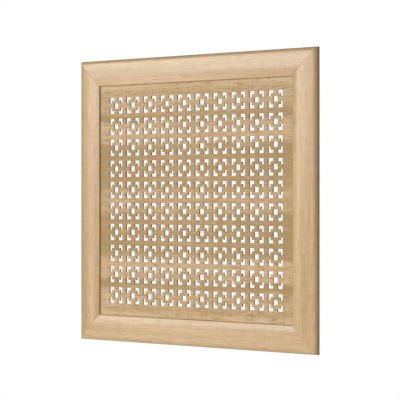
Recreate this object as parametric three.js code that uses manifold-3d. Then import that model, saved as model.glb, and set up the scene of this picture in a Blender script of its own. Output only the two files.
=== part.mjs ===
// A square radiator screen: a thin pierced sheet held in the grooves of four mitred moulding rails.
// Millimetres, +Z up. The front faces -Y and the backs of the rails lie on y = 0.
// The origin is the middle of the top rail's back face, where the screen is fixed or hung.
import Module from "manifold-3d";
import * as THREE from "three";
import { mergeGeometries, mergeVertices } from "three/addons/utils/BufferGeometryUtils.js";

// Screen
const SCREEN_WIDTH = 600;
const SCREEN_HEIGHT = 600;

// Moulding, across its face from the outer side to the inner edge
const SHOULDER_WIDTH = 7.8;
const OUTER_FACE_WIDTH = 28.2; // from the shoulder up to the crest
const INNER_FACE_WIDTH = 19; // from the crest down to the inner edge

// Moulding, through its depth from the back to the crest and down again to the outer side
const GROOVE_BACK_WALL = 5.5; // the wood behind the groove
const LIP_THICKNESS = 3; // the wood in front of the groove at the inner edge
const INNER_RISE = 3.7; // from the inner edge up to the crest
const OUTER_FALL = 2.9; // from the crest down to the shoulder
const SHOULDER_FALL = 6.9; // from the shoulder down to the flat of the outer side

// Moulding, its curves and joints
const CREST_INNER_REACH = 8; // how far the crest's roundness runs inwards
const CREST_OUTER_REACH = 14; // how far it runs outwards
const SHOULDER_FULLNESS_IN = 2; // the knee that the shoulder bends around, in from the outer side
const SHOULDER_FULLNESS_DOWN = 1.6; // and down from the shoulder's top
const INNER_EDGE_RADIUS = 1.2;
const BACK_EDGE_CHAMFER = 1.5;
const GROOVE_DEPTH = 8;
const MITRE_GAP = 0.3;

// Pierced sheet
const SHEET_THICKNESS = 3.2;
const SHEET_FACE_CLEARANCE = 0.3; // to each wall of the groove
const SHEET_EDGE_CLEARANCE = 1; // to the bottom of the groove
const SEAM_GAP = 0.3; // between the two halves of the sheet

// Pattern
const CENTRE_SQUARE = 10.4; // also the gap between the tips of neighbouring brackets
const WEB_WIDTH = 6.1; // between the centre square and the brackets
const BRACKET_WIDTH = 5.85;
const BAR_WIDTH = 10.6; // between neighbouring motifs
const LEAST_MARGIN = 18; // the least plain border between the rails and the pattern
const PUNCH_OVERSHOOT = 1; // how far the cutting shapes run past the sheet's faces

// Fineness of the moulding's curves
const SHOULDER_STEPS = 5;
const FACE_STEPS = 6;
const INNER_EDGE_STEPS = 3;

const railWidth = SHOULDER_WIDTH + OUTER_FACE_WIDTH + INNER_FACE_WIDTH;
const grooveFront = GROOVE_BACK_WALL + SHEET_THICKNESS + 2 * SHEET_FACE_CLEARANCE;
const innerEdgeHeight = grooveFront + LIP_THICKNESS;
const crestHeight = innerEdgeHeight + INNER_RISE;
const shoulderHeight = crestHeight - OUTER_FALL;
const sideHeight = shoulderHeight - SHOULDER_FALL;

const motifSize = CENTRE_SQUARE + 2 * (WEB_WIDTH + BRACKET_WIDTH);
const pitch = motifSize + BAR_WIDTH;
const openingWidth = SCREEN_WIDTH - 2 * railWidth;
const openingHeight = SCREEN_HEIGHT - 2 * railWidth;
const sheetReach = GROOVE_DEPTH - SHEET_EDGE_CLEARANCE; // how far the sheet runs into the rails
const sheetWidth = openingWidth + 2 * sheetReach;
const sheetHeight = openingHeight + 2 * sheetReach;

const wasm = await Module();
wasm.setup();

const railMaterial = () => new THREE.MeshStandardMaterial({
  color: 0xdfc5a1,
  roughness: 0.5,
  metalness: 0,
});
const sheetMaterial = () => new THREE.MeshStandardMaterial({
  color: 0xc9a87c,
  roughness: 0.55,
  metalness: 0,
});

// A curve of the moulding's face from one point to another, bent towards a third.
function bend(start, corner, end, steps) {
  return new THREE.QuadraticBezierCurve(start, corner, end).getPoints(steps).slice(1);
}

// The section of a rail. x is the distance in from the screen's outer side, y the height above the back.
function railSection() {
  const crest = new THREE.Vector2(SHOULDER_WIDTH + OUTER_FACE_WIDTH, crestHeight);
  const shoulderTop = new THREE.Vector2(SHOULDER_WIDTH, shoulderHeight);
  const innerSlope = INNER_RISE / (INNER_FACE_WIDTH - CREST_INNER_REACH);
  const innerEdge = new THREE.Vector2(railWidth, innerEdgeHeight);
  const innerEdgeFoot = new THREE.Vector2(railWidth, innerEdgeHeight - INNER_EDGE_RADIUS);
  const innerEdgeTop = new THREE.Vector2(
    railWidth - INNER_EDGE_RADIUS,
    innerEdgeHeight + innerSlope * INNER_EDGE_RADIUS,
  );
  const outerSideTop = new THREE.Vector2(0, sideHeight);
  const backAndGroove = [
    new THREE.Vector2(BACK_EDGE_CHAMFER, 0),
    new THREE.Vector2(railWidth, 0),
    new THREE.Vector2(railWidth, GROOVE_BACK_WALL),
    new THREE.Vector2(railWidth - GROOVE_DEPTH, GROOVE_BACK_WALL),
    new THREE.Vector2(railWidth - GROOVE_DEPTH, grooveFront),
    new THREE.Vector2(railWidth, grooveFront),
  ];
  const insideCrest = new THREE.Vector2(crest.x + CREST_INNER_REACH, crestHeight);
  const outsideCrest = new THREE.Vector2(crest.x - CREST_OUTER_REACH, crestHeight);
  const shoulderKnee = new THREE.Vector2(SHOULDER_FULLNESS_IN, shoulderHeight - SHOULDER_FULLNESS_DOWN);
  return new THREE.Shape([
    ...backAndGroove,
    innerEdgeFoot,
    ...bend(innerEdgeFoot, innerEdge, innerEdgeTop, INNER_EDGE_STEPS),
    ...bend(innerEdgeTop, insideCrest, crest, FACE_STEPS),
    ...bend(crest, outsideCrest, shoulderTop, FACE_STEPS),
    ...bend(shoulderTop, shoulderKnee, outerSideTop, SHOULDER_STEPS),
    new THREE.Vector2(0, BACK_EDGE_CHAMFER),
  ]);
}

// A rail with mitred ends along X. Its outer side is on z = 0 and the rail lies below it.
function railGeometry(length) {
  const geometry = new THREE.ExtrudeGeometry(railSection(), { depth: 1, steps: 1, bevelEnabled: false });
  const position = geometry.attributes.position;
  for (let i = 0; i < position.count; i += 1) {
    const inward = position.getX(i);
    const height = position.getY(i);
    const side = 1 - 2 * position.getZ(i);
    const halfLength = length / 2 - inward - MITRE_GAP / Math.SQRT2;
    position.setXYZ(i, side * halfLength, -height, -inward);
  }
  geometry.computeVertexNormals();
  return geometry;
}

function rail(name, length, x, z, turn) {
  const mesh = new THREE.Mesh(railGeometry(length), railMaterial());
  mesh.name = name;
  mesh.position.set(x, 0, z);
  mesh.rotation.y = turn;
  return mesh;
}

// The centres of as many motifs as fit across an opening, spread about its middle.
function motifCentres(opening) {
  const count = Math.floor((opening - 2 * LEAST_MARGIN - motifSize) / pitch) + 1;
  return Array.from({ length: count }, (_, i) => (i - (count - 1) / 2) * pitch);
}

// The outline of one corner bracket of a motif, for the corner towards +X and +Z.
function bracketOutline() {
  const tip = CENTRE_SQUARE / 2;
  const outer = motifSize / 2;
  const inner = outer - BRACKET_WIDTH;
  const corners = [
    [tip, outer],
    [tip, inner],
    [inner, inner],
    [inner, tip],
    [outer, tip],
    [outer, outer],
  ];
  return new THREE.Shape(corners.map(([x, z]) => new THREE.Vector2(x, z)));
}

function squareOutline() {
  const half = CENTRE_SQUARE / 2;
  const corners = [[-half, -half], [half, -half], [half, half], [-half, half]];
  return new THREE.Shape(corners.map(([x, z]) => new THREE.Vector2(x, z)));
}

// A cutting shape on a flat outline in X and Z, running past both faces of the sheet.
function punch(outline) {
  const depth = SHEET_THICKNESS + 2 * PUNCH_OVERSHOOT;
  const geometry = new THREE.ExtrudeGeometry(outline, { depth, steps: 1, bevelEnabled: false });
  geometry.rotateX(Math.PI / 2);
  return geometry.translate(0, PUNCH_OVERSHOOT, 0);
}

// The punches of one motif: the centre square and a bracket turned to each corner.
function motifPunches() {
  const punches = [punch(squareOutline())];
  for (let quarter = 0; quarter < 4; quarter += 1) {
    punches.push(punch(bracketOutline()).rotateY((quarter * Math.PI) / 2));
  }
  return mergeGeometries(punches);
}

// A closed geometry as a solid that can be cut.
function solidOf(geometry) {
  geometry.deleteAttribute("normal");
  geometry.deleteAttribute("uv");
  const welded = mergeVertices(geometry);
  return new wasm.Manifold(new wasm.Mesh({
    numProp: 3,
    vertProperties: new Float32Array(welded.attributes.position.array),
    triVerts: new Uint32Array(welded.index.array),
  }));
}

function geometryOf(solid) {
  const mesh = solid.getMesh();
  const geometry = new THREE.BufferGeometry();
  geometry.setAttribute("position", new THREE.BufferAttribute(mesh.vertProperties, mesh.numProp));
  geometry.setIndex(new THREE.BufferAttribute(mesh.triVerts, 1));
  geometry.computeVertexNormals();
  return geometry;
}

// The pierced sheet between two heights, with the motif rows whose centres are given.
function sheetGeometry(bottom, top, rows) {
  const blank = new THREE.BoxGeometry(sheetWidth, SHEET_THICKNESS, top - bottom);
  blank.translate(0, -SHEET_THICKNESS / 2, (bottom + top) / 2);
  const motif = motifPunches();
  const punches = rows.flatMap(
    (z) => motifCentres(openingWidth).map((x) => motif.clone().translate(x, 0, z)),
  );
  return geometryOf(solidOf(blank).subtract(solidOf(mergeGeometries(punches))));
}

function sheet(name, bottom, top, rows) {
  const mesh = new THREE.Mesh(sheetGeometry(bottom, top, rows), sheetMaterial());
  mesh.name = name;
  mesh.position.y = -(GROOVE_BACK_WALL + SHEET_FACE_CLEARANCE);
  return mesh;
}

const screen = new THREE.Group();
screen.position.z = railWidth / 2 - SCREEN_HEIGHT / 2;

const frame = new THREE.Group();
frame.add(rail("top_rail", SCREEN_WIDTH, 0, SCREEN_HEIGHT / 2, 0));
frame.add(rail("bottom_rail", SCREEN_WIDTH, 0, -SCREEN_HEIGHT / 2, Math.PI));
frame.add(rail("left_stile", SCREEN_HEIGHT, -SCREEN_WIDTH / 2, 0, -Math.PI / 2));
frame.add(rail("right_stile", SCREEN_HEIGHT, SCREEN_WIDTH / 2, 0, Math.PI / 2));
screen.add(frame);

// The sheet is modelled in two halves that meet along the middle of a plain bar between two rows.
const rows = motifCentres(openingHeight);
const lowerCount = Math.floor(rows.length / 2);
const seam = (rows[lowerCount - 1] + rows[lowerCount]) / 2;
screen.add(sheet("pierced_sheet_lower", -sheetHeight / 2, seam - SEAM_GAP / 2, rows.slice(0, lowerCount)));
screen.add(sheet("pierced_sheet_upper", seam + SEAM_GAP / 2, sheetHeight / 2, rows.slice(lowerCount)));

export default screen;
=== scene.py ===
import math

import bpy
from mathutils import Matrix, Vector


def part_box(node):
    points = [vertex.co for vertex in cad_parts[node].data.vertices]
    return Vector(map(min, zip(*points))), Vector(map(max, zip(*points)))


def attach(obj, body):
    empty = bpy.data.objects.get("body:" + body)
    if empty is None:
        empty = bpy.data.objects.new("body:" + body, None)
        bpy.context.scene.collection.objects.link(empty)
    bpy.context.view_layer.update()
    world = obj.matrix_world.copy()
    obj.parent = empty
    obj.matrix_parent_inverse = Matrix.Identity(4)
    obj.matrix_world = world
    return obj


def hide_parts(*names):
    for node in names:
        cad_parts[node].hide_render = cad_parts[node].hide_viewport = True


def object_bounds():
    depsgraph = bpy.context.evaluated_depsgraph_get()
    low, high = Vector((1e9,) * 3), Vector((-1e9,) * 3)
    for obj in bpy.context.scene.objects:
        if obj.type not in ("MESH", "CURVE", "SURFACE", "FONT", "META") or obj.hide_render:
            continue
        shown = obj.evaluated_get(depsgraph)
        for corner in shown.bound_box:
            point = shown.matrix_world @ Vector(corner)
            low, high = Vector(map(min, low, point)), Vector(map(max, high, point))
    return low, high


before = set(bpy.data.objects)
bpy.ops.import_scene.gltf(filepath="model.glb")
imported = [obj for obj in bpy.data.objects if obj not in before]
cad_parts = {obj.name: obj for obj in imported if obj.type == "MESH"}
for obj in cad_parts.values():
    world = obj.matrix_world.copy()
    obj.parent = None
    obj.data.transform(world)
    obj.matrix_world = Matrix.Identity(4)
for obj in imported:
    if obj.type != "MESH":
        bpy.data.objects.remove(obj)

cad_low, cad_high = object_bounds()

# A square radiator screen: four mitred rails of foil-wrapped moulding around one pierced sheet.
# Metres, +Z up. The front faces -Y and the backs of the rails lie on y = 0.

MM = 0.001

# Sizes taken from the solids
screen_width = cad_high.x - cad_low.x
screen_height = cad_high.z - cad_low.z
screen_middle = (cad_high.z + cad_low.z) / 2
top_low, top_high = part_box("top_rail")
lower_low, lower_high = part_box("pierced_sheet_lower")
_, upper_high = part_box("pierced_sheet_upper")
rail_width = top_high.z - top_low.z
rail_depth = top_high.y - top_low.y
sheet_back = -lower_high.y
sheet_thickness = lower_high.y - lower_low.y
sheet_width = lower_high.x - lower_low.x
sheet_height = upper_high.z - lower_low.z
half_opening_width = screen_width / 2 - rail_width
half_opening_height = screen_height / 2 - rail_width

# Moulding, across its face and through its depth
SHOULDER_WIDTH = 7.8 * MM
INNER_FACE_WIDTH = 19 * MM  # from the crest down to the inner edge
LIP_THICKNESS = 3 * MM  # the wood in front of the groove at the inner edge
INNER_RISE = 3.7 * MM  # from the inner edge up to the crest
OUTER_FALL = 2.9 * MM  # from the crest down to the shoulder
SHOULDER_FALL = 6.9 * MM  # from the shoulder down to the flat of the outer side

# Moulding, its curves, edges and joints
CREST_INNER_REACH = 8 * MM  # how far the crest's roundness runs inwards
CREST_OUTER_REACH = 14 * MM  # how far it runs outwards
SHOULDER_FULLNESS_IN = 2 * MM  # the knee that the shoulder bends around, in from the outer side
SHOULDER_FULLNESS_DOWN = 1.6 * MM  # and down from the shoulder's top
INNER_EDGE_RADIUS = 1.2 * MM
BACK_EDGE_CHAMFER = 1.5 * MM
GROOVE_DEPTH = 8 * MM
GROOVE_CLEARANCE = 0.3 * MM  # between the sheet and each wall of the groove
FOIL_WRAP = 8 * MM  # how far the foil is folded over onto the back
MITRE_GAP = 0.1 * MM
RAIL_EDGE_BREAK = 0.2 * MM
CURVE_STEPS = 12

# Pattern of the sheet
CENTRE_SQUARE = 10.4 * MM
WEB_WIDTH = 6.1 * MM  # between the centre square and the brackets
BRACKET_WIDTH = 5.85 * MM
BAR_WIDTH = 10.6 * MM  # between neighbouring motifs
LEAST_MARGIN = 18 * MM  # the least plain border between the rails and the pattern
SHEET_EDGE_BREAK = 0.15 * MM
WELD_DISTANCE = 0.01 * MM  # points of the pattern nearer than this are one

motif_size = CENTRE_SQUARE + 2 * (WEB_WIDTH + BRACKET_WIDTH)
pitch = motif_size + BAR_WIDTH


def motifs_across(half_opening):
    """How many motifs fit across an opening between two rails."""
    room = 2 * (half_opening - LEAST_MARGIN) - motif_size
    return math.floor(room / pitch) + 1


columns = motifs_across(half_opening_width)
rows = motifs_across(half_opening_height)

# Colours of the two oak prints
FOIL_LIGHT = (0.71, 0.494, 0.266, 1)
FOIL_DARK = (0.465, 0.297, 0.125, 1)
FOIL_BLUSH = (0.735, 0.475, 0.285, 1)
SHEET_LIGHT = (0.73, 0.54, 0.332, 1)
SHEET_DARK = (0.37, 0.237, 0.094, 1)
SHEET_BLUSH = (0.77, 0.505, 0.305, 1)
PORE = (0.23, 0.14, 0.07, 1)
# Colour of the painted shade at the lip and along the sheet's border
PAINTED_SHADE = (0.12, 0.06, 0.018, 1)

# Dark lines where the pieces meet: dark mitre joints on the foil, and painted shade at the lip and on the
# sheet's border beside the rails
JOINT_WEAR = 0.4 * MM  # on the foil, beside a mitre
LIP_SHADE = 0.2 * MM  # painted shade on the foil, at the inner edge
BORDER_SHADE_START = 0.4 * MM  # painted shade on the sheet, from the inner edge of the rails
BORDER_SHADE_END = 2.2 * MM

# How dark the sheet's bands are at shares of the way from its middle to its upper and lower edges
BAND_SHARES = (
    (0.0, 0.3), (0.07, 0.3), (0.12, 0.58), (0.24, 0.57), (0.4, 0.63), (0.46, 0.46),
    (0.5, 0.2), (0.61, 0.18), (0.65, 0.25), (0.68, 0.68), (0.71, 0.6), (0.76, 0.3),
    (0.85, 0.2), (0.9, 0.3), (0.94, 0.05), (1.0, 0.0),
)
MEAN_BAND_SHARE = 0.35
MIDDLE_BAND_STRENGTH = 0.5  # at the middle of the sheet's width, rising to 1 at its sides

# Camera, in the photograph's own pixels and in metres
PHOTO_SIZE = 400
FOCAL_LENGTH_PX = 1539.3
HORIZON_ROW_PX = 197.03
CAMERA_AZIMUTH = 35.77
CAMERA_PLACE = (1.8613, -2.5667, -0.2651)
SENSOR_WIDTH = 36

# Studio
AMBIENT_STRENGTH = 0.13
FLOOR_DROP = 0.42
FLOOR_HALF_SIZE = 0.9
FLOOR_COLOUR = (0.8, 0.8, 0.79, 1)

# Kinds of sockets
VALUE = "NodeSocketFloat"
COUNT = "NodeSocketInt"
COLOUR = "NodeSocketColor"
VECTOR = "NodeSocketVector"
OBJECT = "NodeSocketObject"
GEOMETRY = "NodeSocketGeometry"


# Nodes

def add_node(tree, kind, inputs=None, **settings):
    """A new node with its settings, and with values or links on its inputs."""
    node = tree.nodes.new(kind)
    for name, value in settings.items():
        setattr(node, name, value)
    for name, value in (inputs or {}).items():
        if isinstance(value, bpy.types.NodeSocket):
            tree.links.new(value, node.inputs[name])
        else:
            node.inputs[name].default_value = value
    return node


def new_tree(name, kind, inputs, outputs):
    """A node tree with named inputs and outputs, and the sockets that bring its inputs in."""
    tree = bpy.data.node_groups.new(name, kind)
    for label, socket_kind, value in inputs:
        socket = tree.interface.new_socket(label, in_out="INPUT", socket_type=socket_kind)
        if value is not None:
            socket.default_value = value
    for label, socket_kind in outputs:
        tree.interface.new_socket(label, in_out="OUTPUT", socket_type=socket_kind)
    return tree, add_node(tree, "NodeGroupInput").outputs


def math_node(tree, operation, *values):
    """The output of a Math node."""
    return add_node(tree, "ShaderNodeMath", dict(enumerate(values)), operation=operation).outputs[0]


def separate(tree, vector):
    """The X, Y and Z of a vector."""
    return add_node(tree, "ShaderNodeSeparateXYZ", {0: vector}).outputs


def combine(tree, **parts):
    """A vector put together from its X, Y and Z."""
    return add_node(tree, "ShaderNodeCombineXYZ", parts).outputs[0]


def folded(tree, vector):
    """The vector with its parts made positive, so that a pattern on it is mirrored about the middle."""
    return add_node(tree, "ShaderNodeVectorMath", {0: vector}, operation="ABSOLUTE").outputs[0]


def mapped(tree, vector, **changes):
    """The vector after a Mapping node with the given Scale, Location or Rotation."""
    return add_node(tree, "ShaderNodeMapping", {"Vector": vector, **changes}).outputs[0]


def spread(tree, value, low, high, to_low=0.0, to_high=1.0):
    """The value, carried from one range to another and kept inside it."""
    node = add_node(tree, "ShaderNodeMapRange", {
        "Value": value, "From Min": low, "From Max": high, "To Min": to_low, "To Max": to_high,
    })
    return node.outputs["Result"]


def noise(tree, vector, detail=2.0, roughness=0.5, scale=1.0):
    """Smooth noise from 0 to 1."""
    node = add_node(tree, "ShaderNodeTexNoise", {
        "Vector": vector, "Scale": scale, "Detail": detail, "Roughness": roughness,
    })
    return node.outputs["Fac"]


def mix_colours(tree, share, first, second):
    """The colour that lies the given share of the way from the first to the second."""
    first_socket, second_socket, result_socket = 6, 7, 2  # the node's sockets for colours
    node = add_node(tree, "ShaderNodeMix", {
        "Factor": share, first_socket: first, second_socket: second,
    }, data_type="RGBA")
    return node.outputs[result_socket]


# Shader groups that several materials use

def oak_print_group():
    """The printed oak grain. Its vector runs along the grain in X and across it in Y."""
    tree, given = new_tree("oak_print", "ShaderNodeTree", (
        ("Vector", VECTOR, None), ("Light", COLOUR, FOIL_LIGHT), ("Dark", COLOUR, FOIL_DARK),
        ("Blush", COLOUR, FOIL_BLUSH), ("Band Share", VALUE, 0.5), ("Blush Contrast", VALUE, 0.6),
        ("Waviness", VALUE, 0.004), ("Streak Contrast", VALUE, 0.3), ("Line Contrast", VALUE, 0.3),
        ("Fine Contrast", VALUE, 0.3), ("Dash Contrast", VALUE, 0.3), ("Saw Marks", VALUE, 0.1),
        ("Smoothest", VALUE, 0.3),
    ), (("Color", COLOUR), ("Roughness", VALUE), ("Height", VALUE)))

    drift = noise(tree, mapped(tree, given["Vector"], Scale=(14.0, 40.0, 40.0)))
    drift = spread(tree, drift, 0.2, 0.8, -0.5, 0.5)
    sideways = combine(tree, Y=math_node(tree, "MULTIPLY", drift, given["Waviness"]))
    wavy = add_node(tree, "ShaderNodeVectorMath", {0: given["Vector"], 1: sideways}).outputs[0]

    def grain(along, across, detail, shift):
        """Noise drawn out along the grain. Along and across count its waves in a metre."""
        drawn_out = mapped(tree, wavy, Scale=(along, across, across), Location=(shift, shift, 0))
        return noise(tree, drawn_out, detail)

    streaks = spread(tree, grain(2.2, 85.0, detail=3.0, shift=7.3), 0.3, 0.7)
    lines = spread(tree, grain(18.0, 300.0, detail=2.0, shift=5.7), 0.3, 0.7)
    fine = spread(tree, grain(60.0, 900.0, detail=2.0, shift=3.1), 0.3, 0.7)
    pores = spread(tree, grain(75.0, 2400.0, detail=1.0, shift=11.7), 0.64, 0.74)
    dashes = spread(tree, grain(38.0, 430.0, detail=2.0, shift=15.1), 0.54, 0.72)
    blush = spread(tree, grain(7.0, 45.0, detail=3.0, shift=19.0), 0.42, 0.68)
    saw_marks = spread(tree, grain(240.0, 16.0, detail=2.0, shift=23.0), 0.5, 0.8)

    dark_share = given["Band Share"]
    for marks, contrast in (
        (streaks, "Streak Contrast"), (lines, "Line Contrast"), (fine, "Fine Contrast"),
        (dashes, "Dash Contrast"), (saw_marks, "Saw Marks"),
    ):
        dark_share = math_node(tree, "MULTIPLY_ADD", marks, given[contrast], dark_share)
    blush_share = math_node(tree, "MULTIPLY", blush, given["Blush Contrast"])
    ground = mix_colours(tree, blush_share, given["Light"], given["Blush"])
    colour = mix_colours(tree, dark_share, ground, given["Dark"])
    colour = mix_colours(tree, math_node(tree, "MULTIPLY", pores, 0.3), colour, PORE)
    roughness = math_node(tree, "MULTIPLY_ADD", fine, 0.08, given["Smoothest"])
    height = math_node(tree, "MULTIPLY_ADD", fine, 0.3, math_node(tree, "MULTIPLY", pores, -1.0))
    add_node(tree, "NodeGroupOutput", {"Color": colour, "Roughness": roughness, "Height": height})
    return tree


def growth_bands_group():
    """How dark the sheet's broad bands are, the same above and below its middle as if book-matched."""
    tree, given = new_tree("growth_bands", "ShaderNodeTree", (
        ("Vector", VECTOR, None), ("Half Size", VALUE, 0.25), ("Waviness", VALUE, 0.005),
    ), (("Share", VALUE),))
    mirrored = folded(tree, given["Vector"])
    out = separate(tree, mirrored)
    wave = noise(tree, mapped(tree, mirrored, Scale=(9.0, 22.0, 0.0)), detail=3.0)
    wave = spread(tree, wave, 0.25, 0.75, -1.0, 1.0)
    height = math_node(tree, "MULTIPLY_ADD", wave, given["Waviness"], out["Y"])
    curve = add_node(tree, "ShaderNodeFloatCurve", {
        "Value": math_node(tree, "DIVIDE", height, given["Half Size"]),
    })
    line = curve.mapping.curves[0]
    line.points[0].location = BAND_SHARES[0]
    line.points[1].location = BAND_SHARES[-1]
    for point in BAND_SHARES[1:-1]:
        line.points.new(*point)
    curve.mapping.update()
    outward = math_node(tree, "DIVIDE", out["X"], given["Half Size"])
    strength = math_node(tree, "MULTIPLY_ADD", outward, 1 - MIDDLE_BAND_STRENGTH, MIDDLE_BAND_STRENGTH)
    contrast = math_node(tree, "SUBTRACT", curve.outputs[0], MEAN_BAND_SHARE)
    share = math_node(tree, "MULTIPLY_ADD", contrast, strength, MEAN_BAND_SHARE)
    add_node(tree, "NodeGroupOutput", {"Share": share})
    return tree


def pressed_fibre_group():
    """Raw board: pressed fibres, with a fine speckle and soft blotches."""
    tree, given = new_tree("pressed_fibre", "ShaderNodeTree", (
        ("Vector", VECTOR, None), ("Light", COLOUR, (0.4, 0.27, 0.15, 1)),
        ("Dark", COLOUR, (0.25, 0.16, 0.08, 1)),
    ), (("Color", COLOUR), ("Height", VALUE)))
    speckle = noise(tree, given["Vector"], detail=3.0, roughness=0.7, scale=1400.0)
    blotch = noise(tree, given["Vector"], detail=4.0, roughness=0.6, scale=22.0)
    share = math_node(tree, "MULTIPLY_ADD", speckle, 0.6, math_node(tree, "MULTIPLY", blotch, 0.5))
    colour = mix_colours(tree, share, given["Light"], given["Dark"])
    add_node(tree, "NodeGroupOutput", {"Color": colour, "Height": speckle})
    return tree


OAK_PRINT = oak_print_group()
GROWTH_BANDS = growth_bands_group()
PRESSED_FIBRE = pressed_fibre_group()


# Materials

def new_material(name):
    """A material, its tree and its shader."""
    material = bpy.data.materials.new(name)
    material.use_nodes = True
    tree = material.node_tree
    return material, tree, tree.nodes["Principled BSDF"]


def place_group(tree, group, inputs):
    """The outputs of a shader group that is set in a material with its own values."""
    return add_node(tree, "ShaderNodeGroup", inputs, node_tree=group).outputs


def attribute(tree, name):
    """A vector that the piece's mesh carries."""
    return add_node(tree, "ShaderNodeAttribute", attribute_name=name).outputs["Vector"]


def object_place(tree):
    """The place on the piece itself, in metres."""
    return add_node(tree, "ShaderNodeTexCoord").outputs["Object"]


def add_bump(tree, shader, height, strength, distance):
    """Fine relief on the shader, from a height that varies over the surface."""
    bump = add_node(tree, "ShaderNodeBump", {"Height": height, "Strength": strength, "Distance": distance})
    tree.links.new(bump.outputs["Normal"], shader.inputs["Normal"])


def moulding_foil():
    """Satin oak-print foil. Its grain runs along each rail; it is dark at the mitres and has painted shade
    at the lip.
    """
    material, tree, shader = new_material("moulding_foil")
    grain_place = attribute(tree, "grain")
    band = noise(tree, mapped(tree, grain_place, Scale=(1.6, 55.0, 55.0)))
    oak = place_group(tree, OAK_PRINT, {
        "Vector": grain_place, "Light": FOIL_LIGHT, "Dark": FOIL_DARK, "Blush": FOIL_BLUSH,
        "Band Share": spread(tree, band, 0.35, 0.65, -0.08, 0.37),
        "Blush Contrast": 0.7, "Waviness": 0.003, "Streak Contrast": 0.2, "Line Contrast": 0.36,
        "Fine Contrast": 0.3, "Dash Contrast": 0.75, "Saw Marks": 0.2, "Smoothest": 0.29,
    })
    joint = separate(tree, attribute(tree, "joint"))
    from_joint = math_node(tree, "SUBTRACT", joint["Y"], math_node(tree, "ABSOLUTE", joint["X"]))
    wear = spread(tree, from_joint, 0.0, JOINT_WEAR, 0.5, 0.0)
    colour = mix_colours(tree, wear, oak["Color"], FOIL_DARK)
    # Painted shade on the last strip of the lip beside the sheet
    inward = separate(tree, attribute(tree, "section"))["X"]
    shade = spread(tree, inward, rail_width - LIP_SHADE, rail_width, 0.0, 0.85)
    colour = mix_colours(tree, shade, colour, PAINTED_SHADE)
    tree.links.new(colour, shader.inputs["Base Color"])
    tree.links.new(oak["Roughness"], shader.inputs["Roughness"])
    shader.inputs["Specular IOR Level"].default_value = 1.0
    shader.inputs["Coat Weight"].default_value = 0.2
    shader.inputs["Coat Roughness"].default_value = 0.3
    add_bump(tree, shader, oak["Height"], 0.2, 0.1 * MM)
    return material


def sheet_laminate():
    """Rougher oak-print laminate, darker and yellower than the foil, with its grain across the screen."""
    material, tree, shader = new_material("sheet_laminate")
    from_middle = mapped(tree, object_place(tree), Location=(0, 0, -screen_middle))
    grain_place = mapped(tree, from_middle, Rotation=(math.radians(-90), 0, 0))
    bands = place_group(tree, GROWTH_BANDS, {"Vector": grain_place, "Half Size": sheet_height / 2})
    oak = place_group(tree, OAK_PRINT, {
        "Vector": grain_place, "Light": SHEET_LIGHT, "Dark": SHEET_DARK, "Blush": SHEET_BLUSH,
        "Band Share": bands["Share"],
        "Blush Contrast": 1.0, "Waviness": 0.01, "Streak Contrast": 0.15, "Line Contrast": 0.3,
        "Fine Contrast": 0.2, "Dash Contrast": 0.65, "Saw Marks": 0.25, "Smoothest": 0.5,
    })
    # Painted shade on the sheet's border, just inside the rails' lips
    out = separate(tree, folded(tree, grain_place))
    to_side = math_node(tree, "SUBTRACT", half_opening_width, out["X"])
    to_end = math_node(tree, "SUBTRACT", half_opening_height, out["Y"])
    to_rail = math_node(tree, "MINIMUM", to_side, to_end)
    shade = spread(tree, to_rail, BORDER_SHADE_START, BORDER_SHADE_END, 0.3, 0.0)
    colour = mix_colours(tree, shade, oak["Color"], PAINTED_SHADE)
    tree.links.new(colour, shader.inputs["Base Color"])
    tree.links.new(oak["Roughness"], shader.inputs["Roughness"])
    shader.inputs["Specular IOR Level"].default_value = 0.4
    add_bump(tree, shader, oak["Height"], 0.3, 0.12 * MM)
    return material


def raw_board(name, light, dark, roughness):
    """Board with no print on it."""
    material, tree, shader = new_material(name)
    fibre = place_group(tree, PRESSED_FIBRE, {"Vector": object_place(tree), "Light": light, "Dark": dark})
    tree.links.new(fibre["Color"], shader.inputs["Base Color"])
    shader.inputs["Roughness"].default_value = roughness
    shader.inputs["Specular IOR Level"].default_value = 0.2
    add_bump(tree, shader, fibre["Height"], 0.4, 0.1 * MM)
    return material


MOULDING_FOIL = moulding_foil()
SHEET_LAMINATE = sheet_laminate()
MOULDING_BOARD = raw_board(
    "moulding_board", light=(0.45, 0.31, 0.19, 1), dark=(0.30, 0.19, 0.11, 1), roughness=0.85
)
SHEET_CORE = raw_board(
    "sheet_core", light=(0.22, 0.16, 0.10, 1), dark=(0.12, 0.08, 0.05, 1), roughness=0.9
)
SHEET_BACKING = raw_board(
    "sheet_backing", light=(0.34, 0.23, 0.14, 1), dark=(0.22, 0.14, 0.08, 1), roughness=0.8
)


# Pieces and the nodes that shape them

def add_object(name, data):
    """A new object in the scene."""
    piece = bpy.data.objects.new(name, data)
    bpy.context.scene.collection.objects.link(piece)
    return piece


def make_plain(piece):
    """Replaces the piece's mesh with its evaluated one and takes its modifiers off."""
    depsgraph = bpy.context.evaluated_depsgraph_get()
    evaluated = piece.evaluated_get(depsgraph)
    piece.data = bpy.data.meshes.new_from_object(
        evaluated, preserve_all_data_layers=True, depsgraph=depsgraph
    )
    piece.modifiers.clear()
    piece.data.name = piece.name


def grow(name, tree, values):
    """A plain mesh piece made by a Geometry Nodes tree with the given input values."""
    piece = add_object(name, bpy.data.meshes.new(name))
    modifier = piece.modifiers.new(name, "NODES")
    modifier.node_group = tree
    for item in tree.interface.items_tree:
        if item.item_type == "SOCKET" and item.in_out == "INPUT" and item.name in values:
            modifier[item.identifier] = values[item.name]
    make_plain(piece)
    return piece


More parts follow.
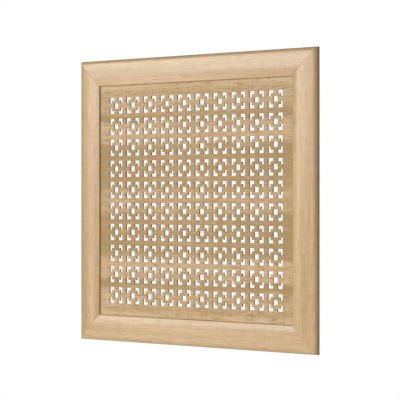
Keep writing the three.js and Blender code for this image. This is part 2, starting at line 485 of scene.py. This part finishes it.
def break_edges(piece, width):
    """Rounds the piece's sharp edges a little and keeps its flats flat."""
    for face in piece.data.polygons:
        face.use_smooth = True
    bevel = piece.modifiers.new("edge_break", "BEVEL")
    bevel.width = width
    bevel.segments = 2
    bevel.limit_method = "ANGLE"
    bevel.angle_limit = math.radians(40)
    bevel.harden_normals = True
    make_plain(piece)


def own_place(tree):
    """The X, Y and Z of each point."""
    return separate(tree, add_node(tree, "GeometryNodeInputPosition").outputs[0])


def own_normal(tree):
    """The X, Y and Z of each face's direction."""
    return separate(tree, add_node(tree, "GeometryNodeInputNormal").outputs[0])


def store(tree, geometry, name, value, kind="FLOAT_VECTOR"):
    """The geometry with a named value kept on each of its points."""
    node = add_node(tree, "GeometryNodeStoreNamedAttribute", {
        "Geometry": geometry, "Name": name, "Value": value,
    }, data_type=kind, domain="POINT")
    return node.outputs[0]


def stored(tree, name, kind="FLOAT_VECTOR"):
    """The named value that the points keep."""
    return add_node(tree, "GeometryNodeInputNamedAttribute", {"Name": name}, data_type=kind).outputs[0]


def faced(tree, geometry, material, chosen=True):
    """The geometry with a material on its chosen faces."""
    node = add_node(tree, "GeometryNodeSetMaterial", {
        "Geometry": geometry, "Selection": chosen, "Material": material,
    })
    return node.outputs[0]


def realized(tree, geometry):
    """The geometry with its instances made real."""
    return add_node(tree, "GeometryNodeRealizeInstances", {"Geometry": geometry}).outputs[0]


def welded(tree, geometry):
    """The geometry with the points that lie on one another merged."""
    node = add_node(tree, "GeometryNodeMergeByDistance", {"Geometry": geometry, "Distance": WELD_DISTANCE})
    return node.outputs[0]


# Moulding rails

def bend(start, knee, end):
    """Points of a quadratic curve after its start."""
    steps = [i / CURVE_STEPS for i in range(1, CURVE_STEPS + 1)]
    return [
        ((1 - t) ** 2 * start[0] + 2 * t * (1 - t) * knee[0] + t * t * end[0],
         (1 - t) ** 2 * start[1] + 2 * t * (1 - t) * knee[1] + t * t * end[1])
        for t in steps
    ]


def section_points():
    """The closed section. x is the distance in from the screen's outer side, y the height above the back."""
    groove_back = sheet_back - GROOVE_CLEARANCE
    groove_front = sheet_back + sheet_thickness + GROOVE_CLEARANCE
    groove_bottom = rail_width - GROOVE_DEPTH
    inner_edge_height = groove_front + LIP_THICKNESS
    shoulder_height = rail_depth - OUTER_FALL
    side_height = shoulder_height - SHOULDER_FALL
    inner_slope = INNER_RISE / (INNER_FACE_WIDTH - CREST_INNER_REACH)

    crest = (rail_width - INNER_FACE_WIDTH, rail_depth)
    edge_foot = (rail_width, inner_edge_height - INNER_EDGE_RADIUS)
    edge = (rail_width, inner_edge_height)
    edge_top = (rail_width - INNER_EDGE_RADIUS, inner_edge_height + inner_slope * INNER_EDGE_RADIUS)
    shoulder_top = (SHOULDER_WIDTH, shoulder_height)
    shoulder_knee = (SHOULDER_FULLNESS_IN, shoulder_height - SHOULDER_FULLNESS_DOWN)
    back = [(BACK_EDGE_CHAMFER, 0), (FOIL_WRAP, 0), (rail_width - FOIL_WRAP, 0), (rail_width, 0)]
    groove = [
        (rail_width, groove_back), (groove_bottom, groove_back),
        (groove_bottom, groove_front), (rail_width, groove_front),
    ]
    return [
        *back,
        *groove,
        edge_foot,
        *bend(edge_foot, edge, edge_top),
        *bend(edge_top, (crest[0] + CREST_INNER_REACH, rail_depth), crest),
        *bend(crest, (crest[0] - CREST_OUTER_REACH, rail_depth), shoulder_top),
        *bend(shoulder_top, shoulder_knee, (0, side_height)),
        (0, BACK_EDGE_CHAMFER),
    ]


def moulding_section():
    """The section as a closed curve, which the rails' nodes sweep."""
    points = section_points()
    curve = bpy.data.curves.new("moulding_section", "CURVE")
    spline = curve.splines.new("POLY")
    spline.points.add(len(points) - 1)
    for target, (x, y) in zip(spline.points, points):
        target.co = (x, y, 0, 1)
    spline.use_cyclic_u = True
    return add_object("moulding_section", curve)


def swept_section(tree, section):
    """The section swept from x = -1 to x = 1. Its points keep their place in it and their way round it."""
    outline = add_node(tree, "GeometryNodeObjectInfo", {"Object": section}).outputs["Geometry"]
    place = add_node(tree, "GeometryNodeInputPosition").outputs[0]
    girth = add_node(tree, "GeometryNodeSplineParameter").outputs["Length"]
    outline = store(tree, outline, "section", place)
    outline = store(tree, outline, "girth", girth, "FLOAT")
    line = add_node(tree, "GeometryNodeCurvePrimitiveLine", {"Start": (-1, 0, 0), "End": (1, 0, 0)})
    swept = add_node(tree, "GeometryNodeCurveToMesh", {
        "Curve": line.outputs[0], "Profile Curve": outline, "Fill Caps": True,
    })
    return swept.outputs[0]


def bare_faces(tree, inward, height):
    """1 on the faces that the foil leaves bare: the middle of the back, the groove and the cut ends."""
    wrap = 0.9 * FOIL_WRAP
    between_wraps = math_node(tree, "MULTIPLY", math_node(tree, "GREATER_THAN", inward, wrap),
                              math_node(tree, "LESS_THAN", inward, rail_width - wrap))
    back = math_node(tree, "MULTIPLY", between_wraps, math_node(tree, "LESS_THAN", height, MM))

    groove_height = sheet_back + sheet_thickness / 2
    half_groove = sheet_thickness / 2 + 0.5 * MM
    behind_edge = math_node(tree, "LESS_THAN", inward, rail_width - MM)
    level = math_node(tree, "COMPARE", height, groove_height, half_groove)
    before_bottom = math_node(tree, "GREATER_THAN", inward, rail_width - 1.2 * GROOVE_DEPTH)
    groove = math_node(tree, "MULTIPLY", math_node(tree, "MULTIPLY", behind_edge, level), before_bottom)

    cut_end = math_node(tree, "GREATER_THAN", math_node(tree, "ABSOLUTE", own_normal(tree)["X"]), 0.3)
    return math_node(tree, "MAXIMUM", back, math_node(tree, "MAXIMUM", groove, cut_end))


def rail_tree():
    """Sweeps the section along a rail, cuts both ends at 45 degrees and sets the rail in its place."""
    tree, given = new_tree("mitred_rail", "GeometryNodeTree", (
        ("Section", OBJECT, None), ("Length", VALUE, 0.6), ("Mitre Gap", VALUE, MITRE_GAP),
        ("Grain Start", VALUE, 0.0), ("Turn", VALUE, 0.0), ("Place", VECTOR, None),
    ), (("Geometry", GEOMETRY),))
    tree.is_modifier = True
    swept = swept_section(tree, given["Section"])

    section = separate(tree, stored(tree, "section"))
    inward, height = section["X"], section["Y"]
    side = math_node(tree, "SIGN", own_place(tree)["X"])
    shortening = math_node(tree, "MULTIPLY_ADD", given["Mitre Gap"], math.sqrt(0.5), inward)
    shortening = math_node(tree, "MULTIPLY", shortening, -1.0)
    half_length = math_node(tree, "MULTIPLY_ADD", given["Length"], 0.5, shortening)
    along = math_node(tree, "MULTIPLY", side, half_length)
    outward, forward = (math_node(tree, "MULTIPLY", value, -1.0) for value in (inward, height))
    mitred = add_node(tree, "GeometryNodeSetPosition", {
        "Geometry": swept, "Position": combine(tree, X=along, Y=forward, Z=outward),
    }).outputs[0]

    grain_along = math_node(tree, "ADD", own_place(tree)["X"], given["Grain Start"])
    grain = combine(tree, X=grain_along, Y=stored(tree, "girth", "FLOAT"), Z=given["Grain Start"])
    marked = store(tree, mitred, "grain", grain)
    marked = store(tree, marked, "joint", combine(tree, X=along, Y=half_length))

    foiled = faced(tree, marked, MOULDING_FOIL)
    finished = faced(tree, foiled, MOULDING_BOARD, bare_faces(tree, inward, height))
    placed = add_node(tree, "GeometryNodeTransform", {
        "Geometry": finished, "Translation": given["Place"], "Rotation": combine(tree, Y=given["Turn"]),
    })
    add_node(tree, "NodeGroupOutput", {"Geometry": realized(tree, placed.outputs[0])})
    return tree


def make_rails():
    """The four rails, each turned into its place and cut from its own stretch of the print."""
    section = moulding_section()
    tree = rail_tree()
    half_width, half_height = screen_width / 2, screen_height / 2
    # name, length, turn in degrees, place, and where along the print it is cut from
    layout = (
        ("top_rail", screen_width, 0, (0, 0, screen_middle + half_height), 5.1),
        ("right_stile", screen_height, 90, (half_width, 0, screen_middle), 3.4),
        ("bottom_rail", screen_width, 180, (0, 0, screen_middle - half_height), 2.9),
        ("left_stile", screen_height, -90, (-half_width, 0, screen_middle), 4.3),
    )
    for node, length, turn, place, grain_start in layout:
        rail = grow(node + "_moulding", tree, {
            "Section": section, "Length": length, "Mitre Gap": MITRE_GAP, "Grain Start": grain_start,
            "Turn": math.radians(turn), "Place": place,
        })
        break_edges(rail, RAIL_EDGE_BREAK)
        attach(rail, "root")
        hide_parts(node)
    bpy.data.objects.remove(section)


# Pierced sheet

def motif_tile():
    """One flat tile of the pattern, a pitch wide and high, without its corner brackets and its square."""
    inner, outer = CENTRE_SQUARE / 2, motif_size / 2
    lines = [
        -pitch / 2, -outer, -outer + BRACKET_WIDTH, -inner,
        inner, outer - BRACKET_WIDTH, outer, pitch / 2,
    ]
    kinds = ["bar", "arm", "web", "square", "web", "arm", "bar"]
    openings = {("arm", "arm"), ("arm", "web"), ("web", "arm"), ("square", "square")}
    size = len(lines)
    vertices = [(x, 0, z) for z in lines for x in lines]
    faces = []
    for row, row_kind in enumerate(kinds):
        for column, column_kind in enumerate(kinds):
            if (row_kind, column_kind) not in openings:
                corner = row * size + column
                faces.append((corner, corner + 1, corner + size + 1, corner + size))
    mesh = bpy.data.meshes.new("motif_tile")
    mesh.from_pydata(vertices, [], faces)
    return add_object("motif_tile", mesh)


def flat_pattern(tree, given):
    """The motif tiles, set side by side and joined into one flat net."""
    def span(count):
        """The way from the first motif's middle to the last one's."""
        return math_node(tree, "MULTIPLY", math_node(tree, "SUBTRACT", count, 1.0), given["Pitch"])

    grid = add_node(tree, "GeometryNodeMeshGrid", {
        "Size X": span(given["Columns"]), "Size Y": span(given["Rows"]),
        "Vertices X": given["Columns"], "Vertices Y": given["Rows"],
    })
    upright = add_node(tree, "GeometryNodeTransform", {
        "Geometry": grid.outputs["Mesh"], "Rotation": (math.radians(90), 0, 0),
    })
    motif = add_node(tree, "GeometryNodeObjectInfo", {"Object": given["Motif"]})
    tiles = add_node(tree, "GeometryNodeInstanceOnPoints", {
        "Points": upright.outputs[0], "Instance": motif.outputs["Geometry"],
    })
    return welded(tree, realized(tree, tiles.outputs[0]))


def with_margin(tree, pattern, given):
    """The pattern with its own border carried out to the sheet's edges, for a plain margin round it."""
    place = own_place(tree)

    def beyond(axis, count):
        """1 where the point lies on the pattern's border across the axis."""
        half_span = math_node(tree, "MULTIPLY", math_node(tree, "MULTIPLY", count, given["Pitch"]), 0.5)
        limit = math_node(tree, "SUBTRACT", half_span, 0.1 * MM)
        return math_node(tree, "GREATER_THAN", math_node(tree, "ABSOLUTE", place[axis]), limit)

    def carried(axis, count, size):
        """The coordinate, moved out to the sheet's edge where the point lies on the border."""
        half_size = math_node(tree, "MULTIPLY", size, 0.5)
        edge = math_node(tree, "MULTIPLY", math_node(tree, "SIGN", place[axis]), half_size)
        on_edge = beyond(axis, count)
        stay = math_node(tree, "MULTIPLY", place[axis], math_node(tree, "SUBTRACT", 1.0, on_edge))
        return math_node(tree, "MULTIPLY_ADD", edge, on_edge, stay)

    border = math_node(tree, "MAXIMUM", beyond("X", given["Columns"]), beyond("Z", given["Rows"]))
    doubled = add_node(tree, "GeometryNodeExtrudeMesh", {
        "Mesh": pattern, "Selection": border, "Offset Scale": 0.0,
    }, mode="EDGES")
    border_place = combine(
        tree,
        X=carried("X", given["Columns"], given["Width"]),
        Z=carried("Z", given["Rows"], given["Height"]),
    )
    flat = add_node(tree, "GeometryNodeSetPosition", {
        "Geometry": doubled.outputs["Mesh"], "Selection": doubled.outputs["Top"],
        "Position": border_place,
    })
    return flat.outputs[0]


def thickened(tree, flat, thickness):
    """The flat sheet as a closed board. Its back stays where the flat sheet lay."""
    front = add_node(tree, "GeometryNodeExtrudeMesh", {
        "Mesh": flat, "Offset": (0, -1, 0), "Offset Scale": thickness, "Individual": False,
    }, mode="FACES")
    back = add_node(tree, "GeometryNodeFlipFaces", {"Mesh": flat})
    both = add_node(tree, "GeometryNodeJoinGeometry", {0: front.outputs["Mesh"]})
    tree.links.new(back.outputs[0], both.inputs[0])
    return welded(tree, both.outputs[0])


def sheet_tree():
    """Lays out the pattern, adds the plain margin and makes one board of it, with a print on its front."""
    tree, given = new_tree("pierced_sheet", "GeometryNodeTree", (
        ("Motif", OBJECT, None), ("Columns", COUNT, 10), ("Rows", COUNT, 10), ("Pitch", VALUE, pitch),
        ("Width", VALUE, sheet_width), ("Height", VALUE, sheet_height),
        ("Thickness", VALUE, sheet_thickness), ("Place", VECTOR, None),
    ), (("Geometry", GEOMETRY),))
    tree.is_modifier = True
    board = thickened(tree, with_margin(tree, flat_pattern(tree, given), given), given["Thickness"])
    placed = add_node(tree, "GeometryNodeTransform", {"Geometry": board, "Translation": given["Place"]})
    facing = own_normal(tree)["Y"]
    sheet = faced(tree, placed.outputs[0], SHEET_CORE)
    sheet = faced(tree, sheet, SHEET_LAMINATE, math_node(tree, "LESS_THAN", facing, -0.5))
    sheet = faced(tree, sheet, SHEET_BACKING, math_node(tree, "GREATER_THAN", facing, 0.5))
    add_node(tree, "NodeGroupOutput", {"Geometry": realized(tree, sheet)})
    return tree


def make_sheet():
    """The pierced sheet, whole, in the place of its two halves."""
    tile = motif_tile()
    sheet = grow("pierced_sheet", sheet_tree(), {
        "Motif": tile, "Columns": columns, "Rows": rows, "Pitch": pitch, "Width": sheet_width,
        "Height": sheet_height, "Thickness": sheet_thickness, "Place": (0, -sheet_back, screen_middle),
    })
    bpy.data.objects.remove(tile)
    break_edges(sheet, SHEET_EDGE_BREAK)
    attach(sheet, "root")
    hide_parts("pierced_sheet_lower", "pierced_sheet_upper")


# Camera, floor and light

def make_camera():
    """The photograph's own camera, level, with its horizon shifted to the photograph's."""
    data = bpy.data.cameras.new("camera")
    data.sensor_width = SENSOR_WIDTH
    data.lens = FOCAL_LENGTH_PX / PHOTO_SIZE * SENSOR_WIDTH
    data.shift_y = (HORIZON_ROW_PX - PHOTO_SIZE / 2) / PHOTO_SIZE
    camera = add_object("camera", data)
    camera.location = CAMERA_PLACE
    camera.rotation_euler = (math.radians(90), 0, math.radians(CAMERA_AZIMUTH))
    bpy.context.scene.camera = camera


def make_floor():
    """A plain pale floor, well below the screen."""
    half, height = FLOOR_HALF_SIZE, cad_low.z - FLOOR_DROP
    corners = [(x, y, height) for x, y in ((-half, -half), (half, -half), (half, half), (-half, half))]
    mesh = bpy.data.meshes.new("floor")
    mesh.from_pydata(corners, [], [(0, 1, 2, 3)])
    floor = add_object("floor", mesh)
    material, _, shader = new_material("pale_floor")
    shader.inputs["Base Color"].default_value = FLOOR_COLOUR
    shader.inputs["Roughness"].default_value = 0.8
    mesh.materials.append(material)


def make_area_light(name, azimuth, elevation, distance, size, watts, mirrored=True):
    """A soft box that looks at the middle of the screen. Azimuth 0 is straight in front of it."""
    data = bpy.data.lights.new(name, "AREA")
    data.shape = "RECTANGLE"
    data.size, data.size_y = size
    data.energy = watts
    light = add_object(name, data)
    light.visible_camera = False
    light.visible_glossy = mirrored
    turn, rise = math.radians(azimuth), math.radians(elevation)
    out = Vector((math.sin(turn) * math.cos(rise), -math.cos(turn) * math.cos(rise), math.sin(rise)))
    light.location = Vector((0, 0, screen_middle)) + out * distance
    light.rotation_euler = out.to_track_quat("Z", "Y").to_euler()


def make_lights():
    """Two windows at the left, a low light at the front right, and one for the back of the screen."""
    make_area_light("high_window", azimuth=-24, elevation=23, distance=2.8, size=(2.64, 1.68), watts=51)
    make_area_light("low_window", azimuth=-39, elevation=-13, distance=2.0, size=(0.65, 1.3), watts=5.3)
    make_area_light("front_light", azimuth=22, elevation=-14, distance=2.2, size=(2.0, 0.4), watts=21.5,
                    mirrored=False)
    make_area_light("back_light", azimuth=-165, elevation=32, distance=2.4, size=(1.6, 1.2), watts=38,
                    mirrored=False)


def make_world():
    """White behind the screen, and a dimmer white for the light that reaches it from all round."""
    world = bpy.data.worlds.new("studio")
    bpy.context.scene.world = world
    world.use_nodes = True
    tree = world.node_tree
    background = tree.nodes["Background"]
    background.inputs["Color"].default_value = (1, 1, 1, 1)
    seen = add_node(tree, "ShaderNodeLightPath").outputs["Is Camera Ray"]
    strength = add_node(tree, "ShaderNodeMapRange", {
        "Value": seen, "To Min": AMBIENT_STRENGTH, "To Max": 1.0,
    })
    tree.links.new(strength.outputs["Result"], background.inputs["Strength"])


make_camera()
make_rails()
make_sheet()
make_floor()
make_world()
make_lights()
bpy.context.scene.view_settings.view_transform = "Standard"
